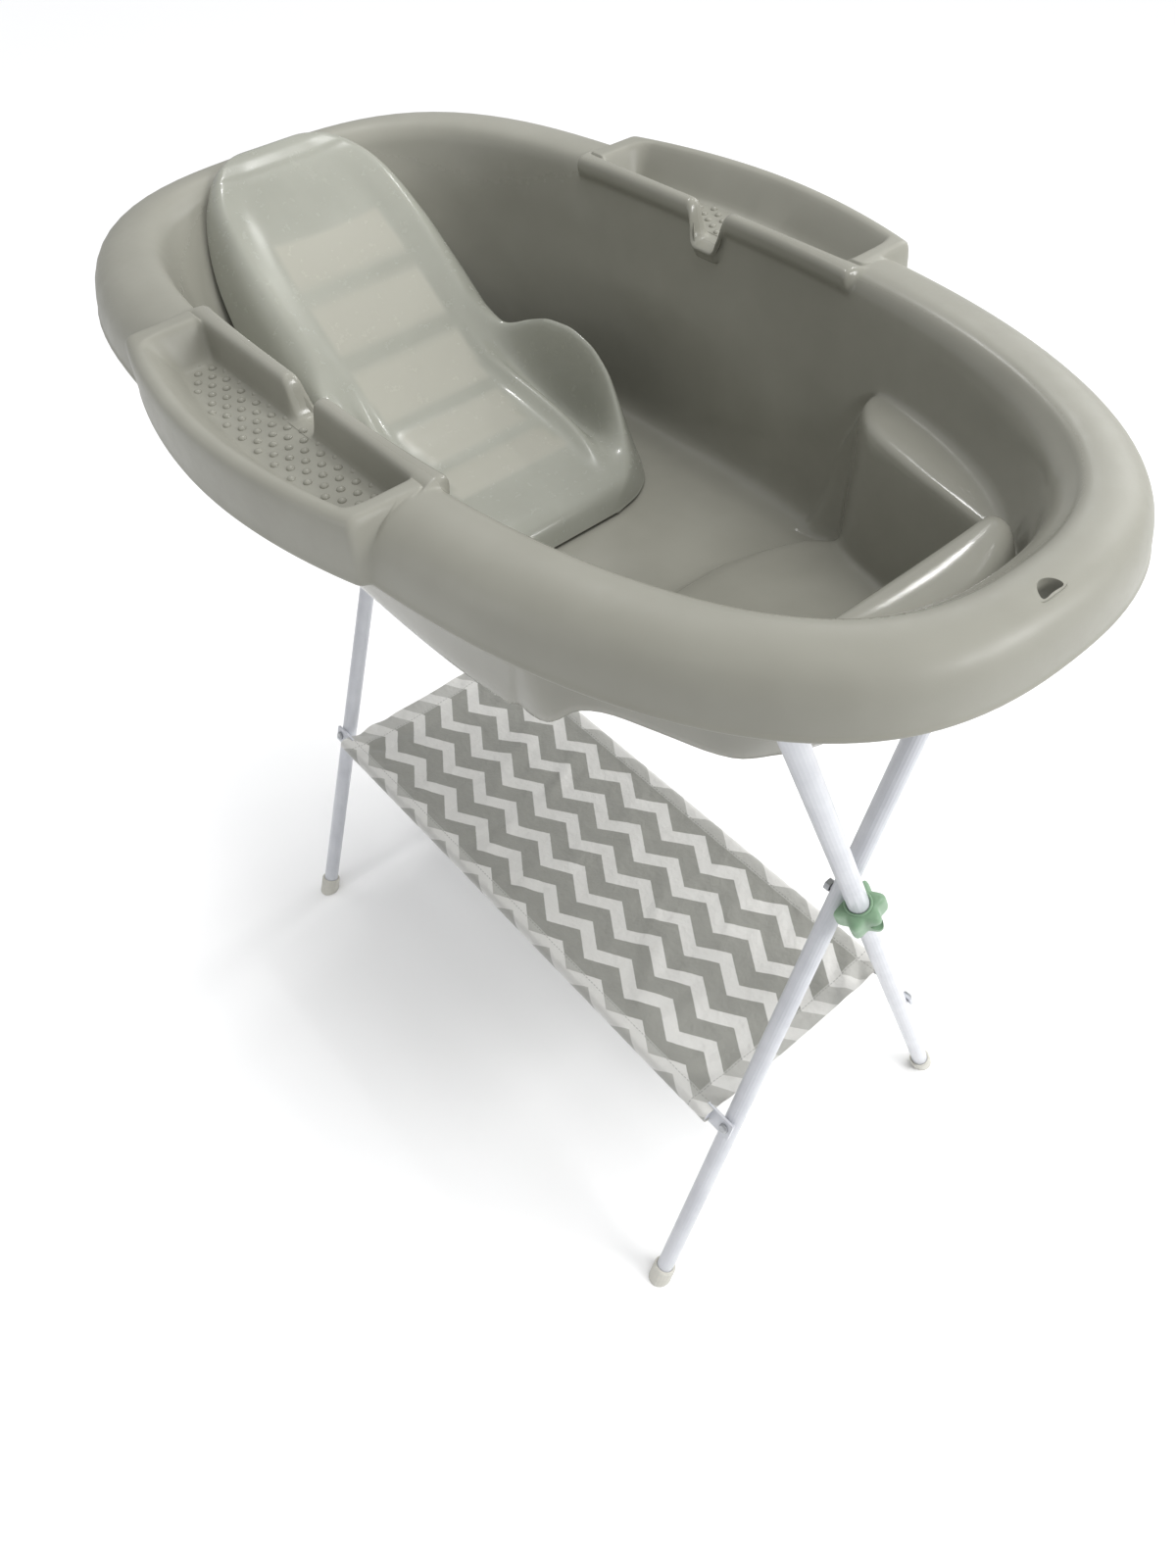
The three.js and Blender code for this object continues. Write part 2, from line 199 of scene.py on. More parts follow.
def mathNode(nodes, links, operation, first, second=None):
    node = nodes.new("ShaderNodeMath")
    node.operation = operation
    for socket, value in zip(node.inputs, (first, second)):
        if value is None:
            continue
        if isinstance(value, (int, float)):
            socket.default_value = value
        else:
            links.new(value, socket)
    return node.outputs[0]


def mixColour(nodes, links, factor, first, second):
    node = nodes.new("ShaderNodeMix")
    node.data_type = "RGBA"
    if isinstance(factor, (int, float)):
        node.inputs[0].default_value = factor
    else:
        links.new(factor, node.inputs[0])
    for index, value in ((6, first), (7, second)):
        if isinstance(value, tuple):
            node.inputs[index].default_value = (*value, 1)
        else:
            links.new(value, node.inputs[index])
    return node.outputs[2]


def bumpNode(nodes, links, height, strength, distance, before=None):
    node = nodes.new("ShaderNodeBump")
    node.inputs["Strength"].default_value = strength
    node.inputs["Distance"].default_value = distance
    links.new(height, node.inputs["Height"])
    if before is not None:
        links.new(before, node.inputs["Normal"])
    return node.outputs["Normal"]


def attributeNode(nodes, name):
    node = nodes.new("ShaderNodeAttribute")
    node.attribute_name = name
    return node.outputs["Fac"]


def fromSrgb(red, green, blue):
    return tuple(((c / 255 + 0.055) / 1.055) ** 2.4 for c in (red, green, blue))


# each finish has a light and a deep colour, mixed in soft clouds
colours = {
    "tub": (fromSrgb(148, 147, 137), fromSrgb(137, 136, 126)),
    "seat": (fromSrgb(157, 158, 148), fromSrgb(147, 148, 138)),
    "panel": fromSrgb(163, 162, 151),
    "paint": (fromSrgb(206, 208, 213), fromSrgb(193, 195, 201)),
    "cap": (fromSrgb(206, 204, 195), fromSrgb(192, 190, 181)),
    "green": (fromSrgb(136, 166, 136), fromSrgb(121, 152, 123)),
    "steel": (fromSrgb(186, 188, 190), fromSrgb(150, 152, 155)),
}


def tubPlastic():
    # satin rim, glossier basin with the slow ripples of a thin moulding
    material, nodes, links, shader = newMaterial("tub_plastic_finish")
    vector = objectCoords(nodes)
    gloss = attributeNode(nodes, "gloss")
    cloud = noiseNode(nodes, links, vector, 9, 4)
    fine = noiseNode(nodes, links, vector, 900, 2)
    ripple = noiseNode(nodes, links, vector, 16, 1.5)
    scuff = noiseNode(nodes, links, vector, 70, 6, 0.75)
    cloudFactor = rangeNode(nodes, links, cloud, 0.3, 0.7, 0, 1)
    colour = mixColour(nodes, links, cloudFactor, *colours["tub"])
    links.new(colour, shader.inputs["Base Color"])
    satin = rangeNode(nodes, links, scuff, 0.3, 0.75, 0.4, 0.52)
    shiny = rangeNode(nodes, links, scuff, 0.3, 0.8, 0.13, 0.24)
    blend = nodes.new("ShaderNodeMix")
    links.new(gloss, blend.inputs[0])
    links.new(satin, blend.inputs[2])
    links.new(shiny, blend.inputs[3])
    links.new(blend.outputs[0], shader.inputs["Roughness"])
    grain = bumpNode(nodes, links, fine, 0.08, 0.0004)
    wave = bumpNode(nodes, links, ripple, 0.16, 0.006, grain)
    links.new(wave, shader.inputs["Normal"])
    return material


def seatPlastic():
    # thin glossy moulding, a little lighter on its ladder panels
    material, nodes, links, shader = newMaterial("seat_plastic_finish")
    vector = objectCoords(nodes)
    panel = attributeNode(nodes, "panel")
    cloud = noiseNode(nodes, links, vector, 11, 4)
    fine = noiseNode(nodes, links, vector, 800, 2)
    ripple = noiseNode(nodes, links, vector, 22, 2)
    scuff = noiseNode(nodes, links, vector, 90, 6, 0.75)
    cloudFactor = rangeNode(nodes, links, cloud, 0.3, 0.7, 0, 1)
    base = mixColour(nodes, links, cloudFactor, *colours["seat"])
    links.new(mixColour(nodes, links, panel, base, colours["panel"]), shader.inputs["Base Color"])
    links.new(rangeNode(nodes, links, scuff, 0.3, 0.8, 0.2, 0.32), shader.inputs["Roughness"])
    grain = bumpNode(nodes, links, fine, 0.05, 0.0003)
    links.new(bumpNode(nodes, links, ripple, 0.07, 0.005, grain), shader.inputs["Normal"])
    shader.inputs["Subsurface Weight"].default_value = 0.15
    shader.inputs["Subsurface Radius"].default_value = (0.006, 0.006, 0.005)
    shader.inputs["Coat Weight"].default_value = 0.25
    shader.inputs["Coat Roughness"].default_value = 0.08
    return material


def speckledFinish(key, name, rough, cloudScale, fineScale, bump, metal=0.0, coat=0.0):
    # small plastic and metal parts: clouded colour, fine grain, uneven gloss
    material, nodes, links, shader = newMaterial(name)
    vector = objectCoords(nodes)
    cloud = noiseNode(nodes, links, vector, cloudScale, 5, 0.6)
    fine = noiseNode(nodes, links, vector, fineScale, 2)
    scuff = noiseNode(nodes, links, vector, 60, 7, 0.8)
    cloudFactor = rangeNode(nodes, links, cloud, 0.35, 0.7, 0, 1)
    links.new(mixColour(nodes, links, cloudFactor, *colours[key]), shader.inputs["Base Color"])
    roughness = rangeNode(nodes, links, scuff, 0.3, 0.8, rough - 0.06, rough + 0.1)
    links.new(roughness, shader.inputs["Roughness"])
    links.new(bumpNode(nodes, links, fine, bump, 0.0004), shader.inputs["Normal"])
    shader.inputs["Metallic"].default_value = metal
    shader.inputs["Coat Weight"].default_value = coat
    shader.inputs["Coat Roughness"].default_value = 0.15
    return material


clothLook = {
    "grey": fromSrgb(155, 155, 148),
    "greyDeep": fromSrgb(143, 143, 137),
    "white": fromSrgb(218, 217, 213),
    "stitch": fromSrgb(104, 104, 100),
    "shade": fromSrgb(110, 110, 106),
    "period": 0.065,  # one zigzag along the shelf
    "swing": 0.0105,  # half the height of a zigzag
    "repeat": 0.0425,  # a grey stripe and a white one
    "greyShare": 0.58,
    "threads": 1450,
    "middle": -0.019,  # middle of the sheet, along and across
    "widthMiddle": 0.155,
    "hemStart": 0.308,  # from the middle to the end hems and to the sleeves
    "sleeveStart": 0.112,
    "seam": 0.0022,  # from a hem's inner edge to its seam
    "stitchStep": 0.0042,
}


def chevronCloth():
    # printed woven cloth; its UV map is in metres on the flat sheet
    look = clothLook
    material, nodes, links, shader = newMaterial("chevron_cloth_finish")
    source = nodes.new("ShaderNodeUVMap")
    source.uv_map = "flat"
    flat = source.outputs["UV"]
    split = nodes.new("ShaderNodeSeparateXYZ")
    links.new(flat, split.inputs[0])
    along, across = split.outputs["X"], split.outputs["Y"]

    def calc(operation, first, second=None):
        return mathNode(nodes, links, operation, first, second)

    def spread(value, low, high, outLow, outHigh):
        return rangeNode(nodes, links, value, low, high, outLow, outHigh)

    def threadWave(direction):
        wave = nodes.new("ShaderNodeTexWave")
        wave.bands_direction = direction
        wave.inputs["Scale"].default_value = look["threads"] / 6.28
        links.new(flat, wave.inputs["Vector"])
        return wave.outputs["Fac"]

    def hemAndSeam(position, middle, start, share, other):
        # where the cloth is doubled, and the dashed line that holds it
        fromMiddle = calc("ABSOLUTE", calc("SUBTRACT", position, middle))
        hem = spread(fromMiddle, start, start + 0.001, 0, share)
        fromSeam = calc("ABSOLUTE", calc("SUBTRACT", fromMiddle, start + look["seam"]))
        dash = calc("FRACT", calc("DIVIDE", other, look["stitchStep"]))
        return hem, calc("MULTIPLY", spread(fromSeam, 0.0003, 0.0007, 1, 0), spread(dash, 0.55, 0.65, 1, 0))

    wobble = noiseNode(nodes, links, flat, 260, 2)
    zigzag = calc("PINGPONG", calc("DIVIDE", along, look["period"]), 0.5)
    shifted = calc("ADD", across, calc("MULTIPLY", zigzag, 4 * look["swing"]))
    shifted = calc("ADD", shifted, calc("MULTIPLY", calc("SUBTRACT", wobble, 0.5), 0.0008))
    cycle = calc("FRACT", calc("DIVIDE", shifted, look["repeat"]))
    centred = calc("ABSOLUTE", calc("SUBTRACT", cycle, 0.5))
    half = look["greyShare"] / 2
    stripe = spread(centred, half - 0.006, half + 0.006, 1, 0)
    threads = calc("MULTIPLY", threadWave("X"), threadWave("Y"))
    cloud = noiseNode(nodes, links, flat, 40, 4)
    grey = mixColour(nodes, links, cloud, look["grey"], look["greyDeep"])
    printed = mixColour(nodes, links, stripe, look["white"], grey)
    endHem, endSeam = hemAndSeam(along, look["middle"], look["hemStart"], 0.45, across)
    longHem, longSeam = hemAndSeam(across, look["widthMiddle"], look["sleeveStart"], 0.35, along)
    doubled = mixColour(nodes, links, calc("MAXIMUM", endHem, longHem), printed, look["white"])
    stitched = calc("MULTIPLY", calc("MAXIMUM", endSeam, longSeam), 0.5)
    sewn = mixColour(nodes, links, stitched, doubled, look["stitch"])
    shaded = mixColour(nodes, links, spread(threads, 0, 1, 0.12, 0), sewn, look["shade"])
    links.new(shaded, shader.inputs["Base Color"])
    links.new(spread(cloud, 0.3, 0.7, 0.78, 0.92), shader.inputs["Roughness"])
    crease = noiseNode(nodes, links, flat, 55, 5, 0.6)
    fabric = bumpNode(nodes, links, threads, 0.35, 0.0004)
    links.new(bumpNode(nodes, links, crease, 0.7, 0.004, fabric), shader.inputs["Normal"])
    shader.inputs["Sheen Weight"].default_value = 0.25
    shader.inputs["Sheen Roughness"].default_value = 0.5
    return material


finishes = {
    "tub": tubPlastic(),
    "seat": seatPlastic(),
    "paint": speckledFinish("paint", "white_paint_finish", 0.34, 22, 1400, 0.12, coat=0.3),
    "cap": speckledFinish("cap", "white_plastic_finish", 0.5, 60, 1200, 0.15),
    "green": speckledFinish("green", "green_plastic_finish", 0.42, 45, 1100, 0.12),
    "steel": speckledFinish("steel", "zinc_steel_finish", 0.42, 120, 1500, 0.2, metal=0.7),
    "cloth": chevronCloth(),
}
slotFinish = {
    "white_paint": "paint", "white_plastic": "cap", "green_plastic": "green", "zinc_steel": "steel",
    "tub_plastic": "tub", "seat_plastic": "seat", "chevron_cloth": "cloth",
}
print("materials made")


def finishOff(piece, body, finish, slot, *nodes):
    # the nodes named are the frame's parts that the piece stands in for
    piece.data.materials.clear()
    piece.data.materials.append(finishes[finish])
    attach(piece, body)
    if nodes:
        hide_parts(*nodes)


# the tub is an egg seen from above: x runs to the foot, y across; all in millimetres
tub = {
    "centre": -30,  # where the two halves of the egg meet, on the long axis
    "headPower": 3.3,
    "footPower": 2.55,
    "floor": 703,
    "wall": 3.2,
    "armFrom": 13.5,  # the arm supports' span, in degrees from the foot end
    "armTo": 42.5,
    "armTop": 839,
    "backTop": 868,
    "backFront": 331.5,
    "raise": 16,  # height of the raised foot end over the floor
    "trayFoot": 109,  # the tray's ends
    "trayHead": -168,
    "trayInner": 191,
    "trayFloor": 883,
    "trayTop": 911,
    "hoodFoot": 124,
    "hoodHead": -184,
    "hoodReach": 154,  # half the length over which the hood's edge bows
    "hoodWidth": 270.6,
    "hoodEndWidth": 246.5,
    "hoodSlope": 33,  # from the hood's edge in to the tray's floor
    "spout": -27,
}
# half width, half length to the head and to the foot, height
basinTable = np.array([
    [154, 257, 335, 703], [160, 267, 343, 704.4], [165, 274.5, 350, 708.5], [168.3, 281, 355, 716],
    [170, 286, 359, 729], [171, 290, 362, 743], [178, 332, 394, 823], [180, 341, 403, 840],
    [181.5, 350, 410, 862], [183, 363, 415, 890], [184.6, 366, 419, 898], [187.4, 371, 427, 904.5]])
rimTable = np.array([
    [190.4, 374.4, 431.5, 907.2], [195, 378, 436, 909.2], [200, 381.5, 441, 910], [206, 386, 446, 910],
    [212, 390.5, 450.6, 909.5], [218, 395, 455, 908.4], [223.5, 399, 459.2, 906.7],
    [228.5, 402.7, 463, 904.3], [232.6, 405.6, 466, 901.4], [236, 408, 468.4, 898],
    [239, 410, 470.4, 893.8], [241.4, 411.7, 472, 889], [243.2, 413, 473.2, 883.6],
    [244.6, 414, 474.2, 877.6], [245.6, 414.7, 474.9, 872]])
beadTable = np.array([
    [246, 414.8, 475, 870.4], [247.1, 415.8, 475.9, 869], [247.3, 415.9, 476, 867.4],
    [246.4, 415.2, 475.2, 866.1], [244.6, 413.4, 473.6, 866.2]])
edgeDims = [183, 363, 414]  # the basin's upper edge, at 890
edgeRows = [(184.6, 366, 420, 898.5), (187, 371, 431, 904.5)]


def eggHalf(along, dims):
    # half length and roundness of the half that a place lies in
    return (dims[1], tub["headPower"]) if along < 0 else (dims[2], tub["footPower"])


def eggReach(angle, dims):
    along, across = math.cos(angle), math.sin(angle)
    half, power = eggHalf(along, dims)
    total = (abs(along) / half) ** power + (abs(across) / dims[0]) ** power
    return total ** (-1 / power)


def eggLevel(x, y, dims):
    # 1 on the outline, less inside it
    along = x - tub["centre"]
    half, power = eggHalf(along, dims)
    return (abs(along) / half) ** power + (abs(y) / dims[0]) ** power


def wallReach(angle, height):
    return eggReach(angle, [np.interp(height, basinTable[:, 3], basinTable[:, k]) for k in range(3)])


def alongRay(start, direction, dims):
    # where a ray from a point meets an outline, by halving
    low, high = -60.0, 130.0
    for _ in range(34):
        middle = (low + high) / 2
        x, y = start[0] + direction[0] * middle, start[1] + direction[1] * middle
        if eggLevel(x, y, dims) < 1:
            low = middle
        else:
            high = middle
    return start[0] + direction[0] * low, start[1] + direction[1] * low


# columns of the tub's grid on one side: angles in degrees at the foot, then the tray's by their x
footAngles = [
    0, 2.5, 5, 7.5, 9.5, 11, 12, 12.7, 13.2, 13.9, 14.9, 16.5, 18.5, 21, 24, 27.5, 31, 34, 36.5, 38.5,
    40, 41.5, 44]
trayColumns = [
    140, 130, 126.2, 124.4, 122.6, 119, 113, 110.6, 108.4, 106.2, 103.5, 98, 84, 66, 46, 26, 8, -2, -6.5,
    -9.5, -12, -14.5, -18, -22.5, -27, -31.5, -36, -39.5, -42, -44.5, -47.5, -52, -64, -84, -104, -124,
    -140, -150, -155, -159, -163, -166.5, -169.5, -174, -180, -182.8, -184.6, -186.4, -190, -200]
headColumns = 10


def columnList():
    columns = [(math.radians(a), None) for a in footAngles]
    for x in trayColumns:
        along = x - tub["centre"]
        half, power = eggHalf(along, edgeDims)
        y = edgeDims[0] * (1 - (abs(along) / half) ** power) ** (1 / power)
        columns.append((math.atan2(y, along), x))
    last = math.degrees(columns[-1][0])
    for step in np.linspace(last, 180, headColumns + 1)[1:]:
        columns.append((math.radians(step), None))
    return columns


# angle in degrees and distance of an arm support's inner face
armFace = np.array([
    [13.4, 378], [15.9, 349.5], [17.8, 331], [21.3, 299.5], [27, 264], [31.3, 251.5], [35.9, 247],
    [38.9, 249], [40.4, 254], [42, 262]])
# y and x of the back support's far edge
backEdge = np.array([
    [0, 377], [20, 376], [45, 371.5], [58, 367], [68, 361], [76, 354], [82, 346], [85, 341]])
# angle and distance of the step up to the raised foot end
stepEdge = np.array([[0, 150], [10, 152.5], [20, 160], [27, 176], [34, 208], [38, 226], [45, 240]])
wallHeights = [704.4, 708, 714, 722, 734, 750, 768, 786, 803, 818, 831, 843, 854, 864, 873, 881, 888, 894]


def basinProfile(angle):
    # 26 rows from the middle of the floor to just under the rim, as distance and height
    degrees = math.degrees(abs(angle))
    floor = tub["floor"]
    floorEdge = wallReach(angle, floor)
    if degrees > tub["armTo"]:
        rows = [(f * floorEdge, floor) for f in (0.18, 0.4, 0.6, 0.74, 0.84, 0.91, 0.955, 0.985)]
        return rows + [(wallReach(angle, z), z) for z in wallHeights]
    fade = 1 - float(ease(degrees, 33, 40))
    step = min(np.interp(degrees, stepEdge[:, 0], stepEdge[:, 1]), floorEdge - 13)
    isArm = degrees > tub["armFrom"]

    def raised(distance):
        along = tub["centre"] + distance * math.cos(angle)
        return floor + fade * (tub["raise"] + 0.1 * max(along - 116, 0))

    # each face row is a distance behind the support's front, and a height or a rise over its foot
    if isArm:
        top = tub["armTop"]
        if degrees > 38:
            top -= 34 * (1 - math.sqrt(max(1 - ((degrees - 38) / 4.6) ** 2, 0)))
        wall = wallReach(angle, top)
        face = min(np.interp(degrees, armFace[:, 0], armFace[:, 1]), wall - 1.5)
        faceRows = [(-1.6, 1.8), (0.2, 7), (0.6, 757), (1, 792), (1.6, 817), (2.8, top - 7),
                    (5.6, top - 1.6)]
    else:
        face = (tub["backFront"] - tub["centre"]) / math.cos(angle)
        tip = min(max((face + 10) * math.sin(abs(angle)) - 70, 0) / 15, 1)
        top = tub["backTop"] - 25 * (1 - math.sqrt(1 - tip ** 2))
        faceRows = [(-1.6, 2.2), (0.2, 9), (0.6, 770), (1, 805), (1.3, 828), (1.6, top - 9),
                    (2.8, top - 3)]
    front = min(face - 7, floorEdge + 6)
    base = raised(face)
    between = (step + 12 + front) / 2
    rows = [(0.55 * step, floor), (step - 11, floor), (step - 3.5, floor + 2.4 * fade),
            (step + 4.5, floor + 12.8 * fade), (step + 12, raised(step + 12)),
            (between, raised(between)), (front, raised(front))]
    for out, height in faceRows:
        z = height if height > 700 else base + height
        rows.append((min(face + out, wallReach(angle, z) - 0.4), z))
    if isArm:
        wide = max(wall - face - 5.6, 1.5)
        rows += [(face + 5.6 + wide * f, top + rise) for f, rise in ((0.16, 0.4), (0.5, 1.8), (0.84, 2.8))]
        rows += [(wallReach(angle, top + 5) - 0.8, top + 5)]
        return rows + [(wallReach(angle, z), z) for z in (top + 10, 856, 864, 871, 878, 884, 889, 894)]
    y = (face + 12) * math.sin(abs(angle))
    back = (np.interp(y, backEdge[:, 0], backEdge[:, 1]) - tub["centre"]) / math.cos(angle)
    back = max(min(back, wallReach(angle, 872) - 6), face + 8)

    def behind(z):
        # the wall behind the back support stands a little further out
        return wallReach(angle, z) + 12 * bell(z, 852, 24) * max(0, 1 - (degrees / 12) ** 2)

    trough = 847 - 4 * tip
    wide = back - face
    rows += [(face + 0.2 * wide, top + 0.4), (face + 0.5 * wide, top + 1.2), (back - 0.24 * wide, top - 1.4),
             (back - 3, top - 6), (back - 0.5, top - 12), ((back + behind(848)) / 2, trough),
             (behind(850), trough + 4)]
    return rows + [(behind(z), z) for z in (857, 864, 871, 880, 887)]


def rimDirection(angle, x, point):
    # which way the rim's rows run outward: straight across by the trays, fanned out at the ends
    if x is not None and tub["trayHead"] - 20 < x < tub["trayFoot"] + 20:
        return 0.0, 1.0
    pivotX = 116 if math.cos(angle) > 0 else -178
    if x is not None:
        pivotX = x
    dx, dy = point[0] - pivotX, point[1]
    size = math.hypot(dx, dy)
    return dx / size, dy / size


def hoodEdge(x):
    # y of the bowed outer edge of the hood round a tray
    reach = (x - tub["centre"]) / tub["hoodReach"]
    return tub["hoodEndWidth"] + (tub["hoodWidth"] - tub["hoodEndWidth"]) * max(1 - reach ** 2, 0)


def trayDepth(x, y):
    # 1 on the tray's floor, 0 on its lips; the corners come out round
    outerTop = hoodEdge(x) - 13.5
    sides = [(y - tub["trayInner"] + 0.6) / 5, (outerTop - y) / 20,
             (tub["trayFoot"] + 0.5 - x) / 5.5, (x - tub["trayHead"] - 0.5) / 11]
    missing = sum(max(0, min(1, 1 - s)) ** 2.4 for s in sides) ** (1 / 2.4)
    return 1 - min(missing, 1)


def hoodShare(x):
    # 1 on the hood, 0 on the plain rim
    if x is None:
        return 0
    fromHead = float(ease(x, tub["hoodHead"] - 2.2, tub["hoodHead"] + 1.2))
    return fromHead * (1 - float(ease(x, tub["hoodFoot"] - 1.2, tub["hoodFoot"] + 2.2)))


def plainRim(share):
    place = share * (len(rimTable) - 1)
    return [np.interp(place, range(len(rimTable)), rimTable[:, k]) for k in range(4)]


def rimProfile(angle, x):
    # rows from the basin's edge to the bottom of the skirt, as x, y and height, on one side
    reach = eggReach(angle, edgeDims)
    start = (tub["centre"] + reach * math.cos(angle), reach * math.sin(angle))
    direction = rimDirection(angle, x, start)
    outlines = [*edgeRows, *(plainRim(share) for share in np.linspace(0, 1, 20)), *beadTable]
    plain = [(*alongRay(start, direction, row[:3]), row[3]) for row in outlines]
    share = hoodShare(x)
    if share == 0:
        return plain
    outer = hoodEdge(x)
    floorOuter = outer - tub["hoodSlope"]
    inner = start[1]
    ridge = tub["trayInner"]
    # the ridge over the basin's wall, with y and height
    hood = [(inner - 3.2, 898), (inner - 4.2, 904), (inner - 3.4, 908.4), (inner - 0.8, 911.2),
            ((inner + ridge) / 2 - 1, 911.6), (ridge - 1.6, 911), (ridge + 0.4, 908.8)]
    # the tray, whose height comes from its depth
    tray = [ridge + out for out in (1.2, 2.2, 4.2, 7, 13)]
    tray += [(ridge + 13 + floorOuter) / 2, floorOuter - 6, floorOuter - 1]
    tray += [floorOuter + out for out in (3, 10, 17, 20.5)]
    drop = tub["trayTop"] - tub["trayFloor"]
    hood += [(y, tub["trayTop"] + 0.2 - drop * trayDepth(x, y)) for y in tray]
    # over the outer lip and down the skirt to its bead
    hood += [(outer - 8, 911.2), (outer - 3.4, 909.4), (outer - 0.8, 904.5), (outer, 872),
             (outer + 1, 869.4), (outer + 1.2, 867.6), (outer + 0.4, 866.1), (outer - 1.6, 866.2)]
    # the hood's sides lean out a little towards the bottom
    return [(x, py + (y - py) * share, pz + (z - pz) * share) for (y, z), (_, py, pz) in zip(hood, plain)]


# the spout's cut by row of the grid, from the basin's wall over the ridge: shift across and height
spoutCut = {23: (-1, 869), 24: (-4.2, 873), 25: (-6, 876.5), 26: (-5.8, 879.4), 27: (-3.2, 881.4),
            28: (0, 882.4), **{row: (0, tub["trayFloor"]) for row in range(29, 36)}}


def spoutChange(x, row, y, z):
    # the gap in the ridge, with its small lip over the basin's wall
    if x is None or row not in spoutCut:
        return y, z
    gap = 1 - float(ease(abs(x - tub["spout"]), 11.5, 19.5))
    shift, height = spoutCut[row]
    return y + shift * gap, z + (min(height, z) - z) * gap


def buildTub():
    # one closed grid, a column for each angle round the egg, thickened to the wall
    columns = columnList()
    rows = []
    for side in (1, -1):
        span = columns if side > 0 else columns[-2:0:-1]
        for angle, x in span:
            profile = [(tub["centre"] + r * math.cos(angle), r * math.sin(angle), z)
                       for r, z in basinProfile(angle)]
            profile += rimProfile(angle, x)
            column = []
            for index, (px, py, pz) in enumerate(profile):
                py, pz = spoutChange(x, index, py, pz)
                column.append((px, side * py, pz))
            rows.append(column)
    rows.append(rows[0])
    points = np.array(rows).transpose(1, 0, 2) * mm
    centre = np.empty((1, points.shape[1], 3))
    centre[:] = (tub["centre"] * mm, 0, tub["floor"] * mm)
    points = np.concatenate([centre, points])
    piece = shapedGrid("tub", points)
    weld(piece)
    flipIfDown(piece, (0.05, 0.02, 0.703))
    subdivided(piece)
    thickened(piece, tub["wall"] * mm)
    applyAll(piece)
    return piece


# the hanging hole, a bean bent towards the foot; width and length are halves, all in metres
hole = {"x": 0.4225, "y": -0.0075, "width": 0.0046, "length": 0.0088, "bend": 0.0034,
        "sides": 40, "middle": 0.9, "depth": 0.06}
# how far the collar's rings stand out from the hole, and their heights
collarRings = [(0.0022, 0.9073), (0.0022, 0.888), (0.0006, 0.888), (0.0, 0.9063)]


def beanPoint(turn, grow=0.0):
    # a point on the bean's outline, or on one that has grown by so much
    along = math.sin(turn)
    return (hole["x"] + (hole["width"] + grow) * math.cos(turn) + hole["bend"] * along ** 2,
            hole["y"] + (hole["length"] + grow) * along)


def hangingHole(piece):
    # a hole through the rim at the foot end, with a short collar under it
    deselectAll()
    bpy.ops.mesh.primitive_cylinder_add(vertices=hole["sides"], radius=1, depth=hole["depth"])
    cutter = named("hole_cutter")
    for point in cutter.data.vertices:
        point.co.x, point.co.y = beanPoint(math.atan2(point.co.y, point.co.x))
    cutter.location = (0, 0, hole["middle"])
    settle(cutter)
    carve(piece, cutter)
    turns = np.linspace(0, 2 * math.pi, hole["sides"] + 1)
    collar = [[(*beanPoint(turn, grow), z) for turn in turns] for grow, z in collarRings]
    collar.append(collar[0])
    sleeve = shapedGrid("hole_collar", np.array(collar))
    weld(sleeve)
    return joined("tub", [piece, sleeve])


tubPiece = hangingHole(buildTub())
spots = np.empty(len(tubPiece.data.vertices) * 3)
tubPiece.data.vertices.foreach_get("co", spots)
spots = spots.reshape(-1, 3)
# the basin is glossier than the rim, with a soft border along its edge
glossEdge = {"middle": -0.03, "head": 0.371, "foot": 0.431, "half": 0.188, "power": 2.8}
fromMiddle = spots[:, 0] - glossEdge["middle"]
outline = ((np.abs(fromMiddle) / np.where(fromMiddle < 0, glossEdge["head"], glossEdge["foot"]))
           ** glossEdge["power"] + (np.abs(spots[:, 1]) / glossEdge["half"]) ** glossEdge["power"])
paintPoints(tubPiece, "gloss", 1 - ease(outline, 0.93, 1.06))
smooth(tubPiece, 50)
finishOff(tubPiece, "tub", "tub", "tub_plastic", "tub_shell")
print("tub built", len(tubPiece.data.polygons))


# rows of dots on a tray's floor
dots = {"rows": 7, "rowStep": 5.75, "pitch": 22, "firstRow": 195.5, "from": -157, "to": 100,
        "radius": 3.1, "height": 2.1, "gloss": 0.7}


def dotPlaces():
    places = []
    for row in range(dots["rows"]):
        y = dots["firstRow"] + row * dots["rowStep"]
        x = dots["from"] + (dots["pitch"] / 2 if row % 2 else 0)
        while x < dots["to"]:
            outer = hoodEdge(x) - tub["hoodSlope"] - 3
            inCorner = x < -140 and y < 199
            if y < outer and not inCorner:
                places.append((x, y))
            x += dots["pitch"]
    return places


def dotField(name, side):
    deselectAll()
    bpy.ops.mesh.primitive_uv_sphere_add(segments=10, ring_count=6, radius=dots["radius"] * mm)
    master = named("dot")
    master.scale = (1, 1, dots["height"] / dots["radius"])
    settle(master)
    copies = []
    for x, y in dotPlaces():
        copy = master.copy()
        copy.data = master.data.copy()
        copy.location = (x * mm, side * y * mm, (tub["trayFloor"] + 0.1) * mm)
        bpy.context.collection.objects.link(copy)
        copies.append(copy)
    bpy.data.objects.remove(master)
    piece = joined(name, copies)
    settle(piece)
    smooth(piece, 70)
    paintPoints(piece, "gloss", [dots["gloss"]] * len(piece.data.vertices))
    finishOff(piece, "tub", "tub", "tub_plastic")


bead = {"inner": 197.2, "outerGap": 1.2, "radius": 0.7, "gloss": 0.6}


